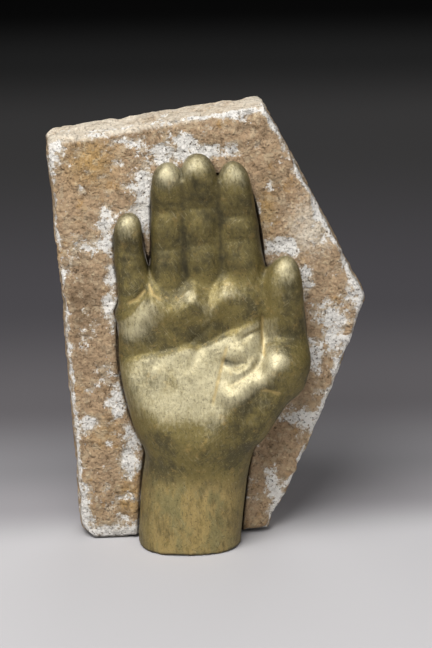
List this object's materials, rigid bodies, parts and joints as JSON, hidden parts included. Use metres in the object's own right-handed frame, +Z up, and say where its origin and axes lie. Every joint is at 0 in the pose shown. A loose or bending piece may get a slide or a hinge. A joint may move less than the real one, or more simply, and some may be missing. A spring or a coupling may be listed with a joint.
{
  "type": "hand sculpture",
  "caption": "Life-size hand, palm out, cast with its wrist and bedded in a hand-shaped pocket of a rough upright slab, standing on its flat base as a tabletop sculpture.",
  "frame": {"origin": "centre of the footprint's bounding box, on the surface it stands on", "axes": "+Z up the fingers, -Y towards the viewer out of the palm, +X towards the thumb"},
  "size_m": [0.1948, 0.0682, 0.2721],
  "materials": {
    "slipped_slab": "matte brown slip, flaked down to white body",
    "bronze_lustre": "satin bronze-toned lustre with a green-grey patina",
    "bedding_plaster": "bare matte plaster"
  },
  "bodies": {
    "root": {"backing_slab": "slipped_slab", "cast_hand": "bronze_lustre", "plaster_bed": "bedding_plaster"}
  },
  "joints": []
}
